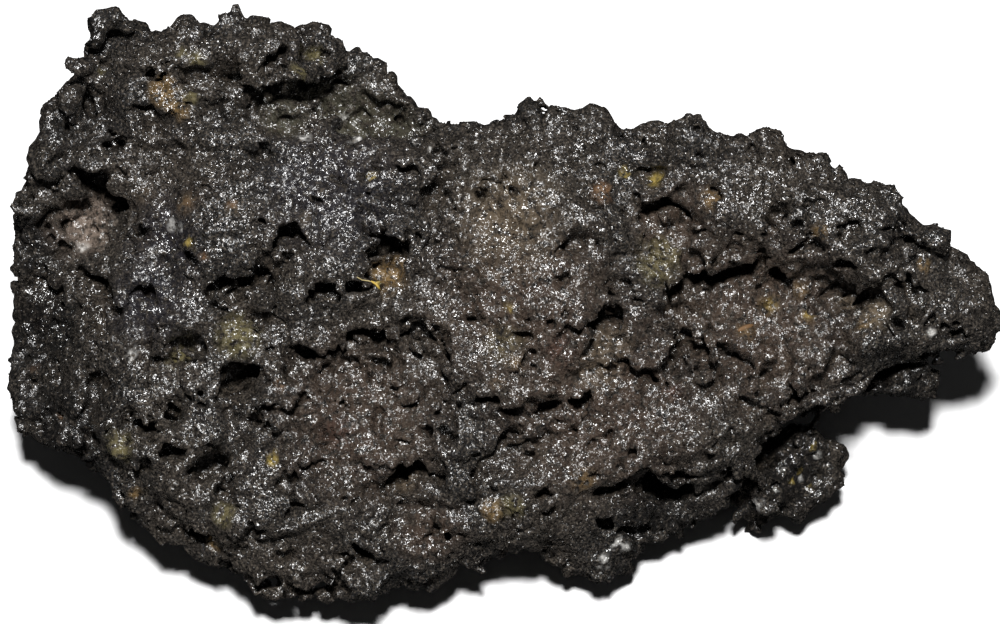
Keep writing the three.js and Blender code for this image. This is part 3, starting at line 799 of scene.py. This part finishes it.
def pit_ball(skin, x, y, width, height):
    inward = -TOWARD * math.cos(UNDERCUT) + UP * math.sin(UNDERCUT)
    deep = PIT["deep"] * max(width, height) * PIXEL
    halves = (PIT["half"] * width * PIXEL, deep, PIT["half"] * height * PIXEL)
    middle = skin.under((x, y)) + inward * (PIT["sink"] * deep)
    return Ball(middle, (RIGHT, inward, RIGHT.cross(inward)), halves)


def knob_ball(skin, x, y, radius):
    size = radius * PIXEL
    return Ball(skin.under((x, y)) - TOWARD * (KNOB_SINK * size), (RIGHT, UP, TOWARD), (size, size, size))


def random_balls(skin, count, radii, sink, depth, seed):
    """Balls of many sizes on points of the skin, sunk in by a share of their radius."""
    draw = np.random.default_rng(seed)
    picks = draw.choice(len(skin.points), count, replace=False)
    for pick in picks:
        size = radii[0] + (radii[1] - radii[0]) * draw.random() ** 2
        normal = Vector(skin.normals[pick])
        side = normal.cross(Vector(draw.standard_normal(3))).normalized()
        stretch = STRETCH[0] + (STRETCH[1] - STRETCH[0]) * draw.random(2)
        yield Ball(
            Vector(skin.points[pick]) - normal * (sink * size),
            (side, normal.cross(side), normal),
            (size * stretch[0], size * stretch[1], size * depth),
        )


def raise_forms(field, skin):
    """Add the knobs and raised edges."""
    for ball in random_balls(skin, seed=SMALL_KNOB_SEED, **SMALL_KNOBS):
        field.add(ball, "small knob")
    for knob in KNOBS:
        field.add(knob_ball(skin, *knob), "knob")
    for half, rise, *route in RIDGES:
        for ball in ridge_balls(skin, route, half, rise):
            field.add(ball, "ridge")


def carve_forms(field, skin):
    """Cut the hollows, holes and outer edges."""
    for basin in BASINS.values():
        field.cut(basin_ball(skin, *basin), "basin")
    for width, depth, run, *route in HOLLOWS:
        for ball in lip_balls(skin, route, width):
            field.add(ball, "lip")
        for ball in hollow_balls(skin, route, width, depth, run):
            field.cut(ball, "hollow")
    for trim in TRIMS:
        for ball in trim_balls(skin, trim):
            field.cut(ball, "trim")
    for pit in PITS:
        field.cut(pit_ball(skin, *pit), "pit")
    for ball in random_balls(skin, seed=SMALL_HOLE_SEED, **SMALL_HOLES):
        field.cut(ball, "small hole")


def shape_rock():
    """Fields of the rock before and after its crust is shaped."""
    field = solid_field()
    field.fill_hollows()
    field.smooth(FACET_SMOOTHING)
    before = field.copy()
    skin = Skin(*field.surface())
    calm = field.calm_share(skin)
    for i, lumps in enumerate(LUMPS):
        field.raise_lumps(*lumps, seed=LUMP_SEED + i, share=calm)
    field.ragged = RAGGED_DEPTH * field.cloud(RAGGED_SPACING, RAGGED_SEED)
    raise_forms(field, skin)
    carve_forms(field, skin)
    carved = Skin(*field.surface())
    for knob in HOLLOW_KNOBS:
        field.add(knob_ball(carved, *knob), "hollow knob")
    for i, lumps in enumerate(FINE_LUMPS):
        field.raise_lumps(*lumps, seed=FINE_LUMP_SEED + i, share=FINE_LEAST + (1 - FINE_LEAST) * calm)
    for i, pores in enumerate(PORES):
        field.open_pores(*pores, seed=PORE_SEED + i)
    field.rest_on_floor()
    return before, field


def mesh_from(name, points, faces):
    mesh = bpy.data.meshes.new(name)
    mesh.from_pydata((points * MM).tolist(), [], faces, shade_flat=False)
    mesh.update()
    return mesh


def piece_from(name, mesh):
    piece = bpy.data.objects.new(name, mesh)
    bpy.context.collection.objects.link(piece)
    return piece


def made_plain(piece):
    """Turn a piece and its modifiers into a plain mesh."""
    shown = piece.evaluated_get(bpy.context.evaluated_depsgraph_get())
    mesh = bpy.data.meshes.new_from_object(shown)
    piece.modifiers.clear()
    piece.data = mesh


def points_of(mesh):
    """Points and normals of a mesh, in millimetres."""
    return read_values(mesh.vertices, "co", 3) / MM, read_values(mesh.vertex_normals, "vector", 3)


def seen_share(mesh):
    """How much each point faces the photograph's camera, 0 to 1."""
    points, normals = points_of(mesh)
    height = (points - np.array(FACE_MIDDLE)) @ np.array(TOWARD)
    facing = normals @ np.array(TOWARD)
    return ramp(facing, *SEEN_FACING) * ramp(height, *SEEN_HEIGHT)


def thin_out(piece, triangles):
    """Take triangles out, the hidden sides' first."""
    hidden = 1 - seen_share(piece.data)
    group = piece.vertex_groups.new(name="hidden")
    for level in range(HIDDEN_LEVELS + 1):
        picks = np.nonzero(np.round(hidden * HIDDEN_LEVELS) == level)[0]
        group.add(picks.tolist(), max(level, 1) / HIDDEN_LEVELS, "REPLACE")
    thin = piece.modifiers.new("thin", "DECIMATE")
    thin.ratio = min(1.0, triangles / (2 * len(piece.data.polygons)))
    thin.use_collapse_triangulate = True
    thin.vertex_group = group.name
    thin.vertex_group_factor = HIDDEN_FACTOR
    made_plain(piece)
    piece.vertex_groups.clear()


def number_attribute(mesh, name, values):
    mesh.attributes.new(name, "FLOAT", "POINT").data.foreach_set("value", values.astype(np.float32))


def paint(mesh, crust, before):
    """Mark where the rock is stained or painted with shade or glints, glassy, sunk, steep and so painted with
    shade, and grainy.
    """
    points, normals = points_of(mesh)

    def nearness(x, y, radius, edge):
        away = np.linalg.norm(points - np.array(crust.under((x, y))), axis=1) / (radius * PIXEL)
        return np.clip((1 + edge - away) / (2 * edge), 0, 1)

    # one colour layer for stains, painted shade and painted glints
    stain_and_painted_light = np.zeros((len(points), 4), np.float32)
    for name, spots in STAINS_AND_PAINTED_LIGHT.items():
        *colour, strength = STAIN_AND_PAINTED_LIGHT_COLOURS[name]
        for spot in spots:
            share = (strength * nearness(*spot, edge=SPOT_EDGE))[:, None]
            both = np.maximum(share + stain_and_painted_light[:, 3:], LEAST_SPOT)
            stain_and_painted_light[:, :3] += (np.array(colour) - stain_and_painted_light[:, :3]) * share / both
            stain_and_painted_light[:, 3:] = np.maximum(stain_and_painted_light[:, 3:], share)
    mesh.attributes.new("stain_and_painted_light", "FLOAT_COLOR", "POINT").data.foreach_set("color", stain_and_painted_light.ravel())
    number_attribute(mesh, "glassy", np.max([nearness(*spot, edge=GLASSY_EDGE) for spot in GLASSY], axis=0))
    number_attribute(mesh, "sunk", np.clip(-before.sample(points) / SUNK_DEPTH, 0, 1))
    # Steep sides, which the material paints with shade
    number_attribute(mesh, "side", ramp(normals @ np.array(TOWARD), *SHADED_SIDE_FACING))
    number_attribute(mesh, "grainy", seen_share(mesh) * ramp(points[:, 2], *GRAINS_ABOVE))


class Nodes:
    """Short ways to add and join nodes in a node tree."""

    def __init__(self, tree):
        self.tree = tree

    def add(self, kind, inputs=None, **settings):
        node = self.tree.nodes.new(kind)
        for name, value in settings.items():
            setattr(node, name, value)
        for name, value in (inputs or {}).items():
            self.put(node.inputs[name], value)
        return node

    def put(self, socket, value):
        if isinstance(value, bpy.types.NodeSocket):
            self.tree.links.new(value, socket)
        else:
            socket.default_value = value

    def calc(self, operation, a, b):
        return self.add("ShaderNodeMath", {0: a, 1: b}, operation=operation).outputs[0]

    def vector(self, operation, a, b):
        return self.add("ShaderNodeVectorMath", {0: a, 1: b}, operation=operation).outputs[0]


def geometry_tree(name, inputs):
    """An empty geometry tree with named inputs, and its two ends."""
    tree = bpy.data.node_groups.new(name, "GeometryNodeTree")
    tree.interface.new_socket("Geometry", in_out="INPUT", socket_type="NodeSocketGeometry")
    for label, kind in inputs.items():
        tree.interface.new_socket(label, in_out="INPUT", socket_type=kind)
    tree.interface.new_socket("Geometry", in_out="OUTPUT", socket_type="NodeSocketGeometry")
    nodes = Nodes(tree)
    return nodes, nodes.add("NodeGroupInput").outputs, nodes.add("NodeGroupOutput")


def run_tree(piece, tree, values):
    """Run a geometry tree on a piece with its named inputs set, and keep the result as a plain mesh."""
    modifier = piece.modifiers.new(tree.name, "NODES")
    modifier.node_group = tree
    for item in tree.interface.items_tree:
        if item.in_out == "INPUT" and item.name in values:
            modifier[item.identifier] = values[item.name]
    made_plain(piece)


def crumb_tree():
    """Leaves out the crumbs that hang loose from the rock."""
    nodes, given, made = geometry_tree(
        "loose_crumbs", {"Smallest": "NodeSocketFloat", "Material": "NodeSocketMaterial"}
    )
    island = nodes.add("GeometryNodeInputMeshIsland").outputs["Island Index"]
    size = nodes.add("GeometryNodeAccumulateField", {"Value": 1.0, "Group ID": island}).outputs["Total"]
    small = nodes.calc("LESS_THAN", size, given["Smallest"])
    kept = nodes.add("GeometryNodeDeleteGeometry", {"Geometry": given["Geometry"], "Selection": small})
    painted = nodes.add(
        "GeometryNodeSetMaterial", {"Geometry": kept.outputs["Geometry"], "Material": given["Material"]}
    )
    nodes.put(made.inputs["Geometry"], painted.outputs["Geometry"])
    return nodes.tree


def grain_tree():
    """Angular grains stuck all over a surface."""
    nodes, given, made = geometry_tree("crust_grains", {
        "Per Area": "NodeSocketFloat",
        "Smallest": "NodeSocketFloat",
        "Largest": "NodeSocketFloat",
        "Seed": "NodeSocketInt",
        "Material": "NodeSocketMaterial",
    })
    share = nodes.add("GeometryNodeInputNamedAttribute", {"Name": "grainy"}).outputs["Attribute"]
    spots = nodes.add("GeometryNodeDistributePointsOnFaces", {
        "Mesh": given["Geometry"],
        "Density": nodes.calc("MULTIPLY", share, given["Per Area"]),
        "Seed": given["Seed"],
    })
    grain = nodes.add("GeometryNodeMeshIcoSphere", {"Radius": 1.0, "Subdivisions": 1})

    def any_between(low, high):
        node = nodes.add("FunctionNodeRandomValue", {"Seed": given["Seed"]}, data_type="FLOAT_VECTOR")
        nodes.put(node.inputs["Min"], low)
        nodes.put(node.inputs["Max"], high)
        return node.outputs["Value"]

    def three(value):
        return nodes.add("ShaderNodeCombineXYZ", {axis: value for axis in "XYZ"}).outputs["Vector"]

    grains = nodes.add("GeometryNodeInstanceOnPoints", {
        "Points": spots.outputs["Points"],
        "Instance": grain.outputs["Mesh"],
        "Rotation": any_between((0, 0, 0), (math.tau, math.tau, math.tau)),
        "Scale": any_between(three(given["Smallest"]), three(given["Largest"])),
    })
    real = nodes.add("GeometryNodeRealizeInstances", {"Geometry": grains.outputs["Instances"]})
    flat = nodes.add(
        "GeometryNodeSetShadeSmooth", {"Geometry": real.outputs["Geometry"], "Shade Smooth": False}
    )
    painted = nodes.add(
        "GeometryNodeSetMaterial", {"Geometry": flat.outputs["Geometry"], "Material": given["Material"]}
    )
    nodes.put(made.inputs["Geometry"], painted.outputs["Geometry"])
    return nodes.tree


def grainy_area(mesh):
    """Area that grains stick to, in square metres, each face counted by its share."""
    share = read_values(mesh.attributes["grainy"].data, "value")
    corners = read_values(mesh.loops, "vertex_index", kind=np.int32)
    areas = read_values(mesh.polygons, "area")
    return float((share[corners].reshape(-1, 3).mean(axis=1) * areas).sum())


def dress(piece):
    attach(piece, "root")
    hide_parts("lava_rock")


def lava_material():
    """Charcoal crust with brown areas, specks and stains, painted shade and glints, and glittering facets."""
    material = bpy.data.materials.new("lava")
    material.use_nodes = True
    nodes = Nodes(material.node_tree)
    shader = material.node_tree.nodes["Principled BSDF"]
    place = nodes.add("ShaderNodeTexCoord").outputs["Object"]

    def noise(size, detail=2.0):
        node = nodes.add("ShaderNodeTexNoise", {"Vector": place, "Scale": 1 / (size * MM), "Detail": detail})
        return node.outputs["Fac"]

    def facet(size):
        return nodes.add("ShaderNodeTexVoronoi", {"Vector": place, "Scale": 1 / (size * MM)}).outputs["Color"]

    def attribute(name):
        return nodes.add("ShaderNodeAttribute", attribute_name=name).outputs

    def mix(share, low, high):
        node = nodes.add("ShaderNodeMix", data_type="RGBA")
        nodes.put(node.inputs[0], share)
        nodes.put(node.inputs[6], low)
        nodes.put(node.inputs[7], high)
        return node.outputs[2]

    def level(value, low, high, to_low=0.0, to_high=1.0):
        node = nodes.add("ShaderNodeMapRange", {
            "Value": value, "From Min": low, "From Max": high, "To Min": to_low, "To Max": to_high,
        })
        return node.outputs["Result"]

    def pattern(name, to_low=0.0, to_high=1.0):
        size, detail, low, high = PATTERNS[name]
        return level(noise(size, detail), low, high, to_low, to_high)

    charcoal = mix(pattern("brown areas"), CHARCOAL, BROWN_CRUST)
    speckled = mix(pattern("speckle"), charcoal, SPECKLE)
    floors = mix(level(attribute("sunk")["Fac"], *SUNK_RANGE, 0, SUNK_SHARE), speckled, HOLLOW_FLOOR)
    # Painted shade: steep sides and tiny pits are made darker towards the shade colour
    steep = level(attribute("side")["Fac"], 0, 1, 0, SIDE_SHADE)
    shade_share = nodes.calc("MAXIMUM", steep, pattern("pit shade", POCKET_SHADE, 0))
    shaded_colour = mix(shade_share, floors, SHADE_PAINT)
    # stains, painted shade and painted glints laid over the base
    stain_and_painted_light = attribute("stain_and_painted_light")
    patchy = nodes.calc("MULTIPLY", stain_and_painted_light["Alpha"], pattern("stain patches"))
    nodes.put(shader.inputs["Base Color"], mix(patchy, shaded_colour, stain_and_painted_light["Color"]))
    shader.inputs["Specular IOR Level"].default_value = GLOSS

    facets = [facet(size) for size, _ in FACETS]
    chance = nodes.add("ShaderNodeSeparateColor", {"Color": facets[0]}).outputs["Blue"]
    dull = pattern("dull areas", *ROUGHNESS)
    rough = nodes.calc("ADD", dull, level(chance, 0, FACET_CHANCE, 0, FACET_ROUGHNESS))
    nodes.put(shader.inputs["Roughness"], level(attribute("glassy")["Fac"], 0, 1, rough, GLASSY_ROUGHNESS))

    grit = nodes.calc("ADD", *(noise(size) for size in GRIT_SIZES))
    bump = nodes.add("ShaderNodeBump", {"Height": grit, "Strength": 1.0, "Distance": GRIT_DEPTH * MM})
    turned = bump.outputs["Normal"]
    for colour, (_, tilt) in zip(facets, FACETS):
        lean = nodes.vector("SUBTRACT", colour, UPRIGHT)
        turned = nodes.vector("ADD", turned, nodes.vector("MULTIPLY", lean, (tilt, tilt, tilt)))
    unit = nodes.add("ShaderNodeVectorMath", {0: turned}, operation="NORMALIZE")
    nodes.put(shader.inputs["Normal"], unit.outputs[0])
    return material


def add_rock(material):
    """The rock, and its finished crust to find places on."""
    before, field = shape_rock()
    points, faces = field.surface()
    rock = piece_from("lava_rock_crust", mesh_from("lava_rock_crust", points, faces.tolist()))
    crust = Skin(points, faces)
    run_tree(rock, crumb_tree(), {"Smallest": float(CRUMB_POINTS), "Material": material})
    thin_out(rock, ROCK_TRIANGLES)
    paint(rock.data, crust, before)
    dress(rock)
    return rock, crust


def add_grains(rock, material):
    tree = grain_tree()
    area = grainy_area(rock.data)
    for order, (name, grain) in enumerate(GRAINS.items()):
        piece = piece_from(f"crust_grains_{name}", rock.data.copy())
        smallest, largest = grain["radii"]
        run_tree(piece, tree, {
            "Per Area": grain["count"] / area,
            "Smallest": smallest * MM,
            "Largest": largest * MM,
            "Seed": GRAIN_SEED + order,
            "Material": material,
        })
        dress(piece)


def strand(crust, route, half_width, half_thickness):
    """Points and faces of a thin strand that lies on the crust, thinner at its ends."""
    places = crust.along_route(route, DIRT_STEP)
    points = []
    for i, (at, along) in enumerate(places):
        size = DIRT_TIP if i in (0, len(places) - 1) else 1.0
        across = TOWARD.cross(along) * half_width * size
        rise = TOWARD * half_thickness * size
        for corner in range(DIRT_CORNERS):
            turn = math.tau * corner / DIRT_CORNERS
            points.append(at + TOWARD * DIRT_LIFT + across * math.cos(turn) + rise * math.sin(turn))
    faces = [list(range(DIRT_CORNERS))[::-1]]
    for start in range(0, len(points) - DIRT_CORNERS, DIRT_CORNERS):
        for corner in range(DIRT_CORNERS):
            beside = (corner + 1) % DIRT_CORNERS
            ring = (corner, beside, beside + DIRT_CORNERS, corner + DIRT_CORNERS)
            faces.append([start + point for point in ring])
    faces.append(list(range(len(points) - DIRT_CORNERS, len(points))))
    return np.array(points), faces


def add_dirt(crust):
    for name, (route, half_width, half_thickness, colour) in DIRT.items():
        piece = piece_from(name, mesh_from(name, *strand(crust, route, half_width, half_thickness)))
        piece.data.materials.append(plain_material(name, colour, DIRT_ROUGHNESS))
        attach(piece, "root")


def plain_material(name, colour, roughness):
    material = bpy.data.materials.new(name)
    material.use_nodes = True
    shader = material.node_tree.nodes["Principled BSDF"]
    shader.inputs["Base Color"].default_value = colour
    shader.inputs["Roughness"].default_value = roughness
    return material


def add_floor():
    """A pale floor, which the crust's gloss doesn't mirror, so that its steep sides stay dark."""
    corners = np.array([(-1, -1, 0), (1, -1, 0), (1, 1, 0), (-1, 1, 0)]) * FLOOR_HALF
    floor = piece_from("floor", mesh_from("floor", corners, [(0, 1, 2, 3)]))
    floor.data.materials.append(plain_material("pale_floor", FLOOR_COLOUR, FLOOR_ROUGHNESS))
    floor.visible_glossy = False
    floor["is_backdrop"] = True


def add_camera():
    data = bpy.data.cameras.new("camera")
    data.lens = LENS
    data.sensor_width = SENSOR
    camera = bpy.data.objects.new("camera", data)
    camera.location = EYE * MM
    camera.rotation_euler = (-TOWARD).to_track_quat("-Z", "Y").to_euler()
    bpy.context.collection.objects.link(camera)
    bpy.context.scene.camera = camera


def add_lights():
    """A small key light above the lens, and a faint even surround."""
    direction = TOWARD * math.cos(KEY_ABOVE_LENS) + UP * math.sin(KEY_ABOVE_LENS)
    data = bpy.data.lights.new("key", "AREA")
    data.size = KEY_SIZE
    data.energy = KEY_POWER
    light = bpy.data.objects.new("key", data)
    light.location = FACE_MIDDLE * MM + direction * KEY_DISTANCE
    light.rotation_euler = (-direction).to_track_quat("-Z", "Y").to_euler()
    bpy.context.collection.objects.link(light)
    world = bpy.data.worlds.new("studio")
    world.use_nodes = True
    background = world.node_tree.nodes["Background"]
    background.inputs["Color"].default_value = (1, 1, 1, 1)
    background.inputs["Strength"].default_value = SURROUND_STRENGTH
    bpy.context.scene.world = world
    bpy.context.scene.view_settings.view_transform = "Standard"


add_camera()
lava = lava_material()
rock, crust = add_rock(lava)
add_grains(rock, lava)
add_dirt(crust)
add_floor()
add_lights()

boxes = {"cad": cad_box, "visual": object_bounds()}
{name: [list(corner) for corner in box] for name, box in boxes.items()}
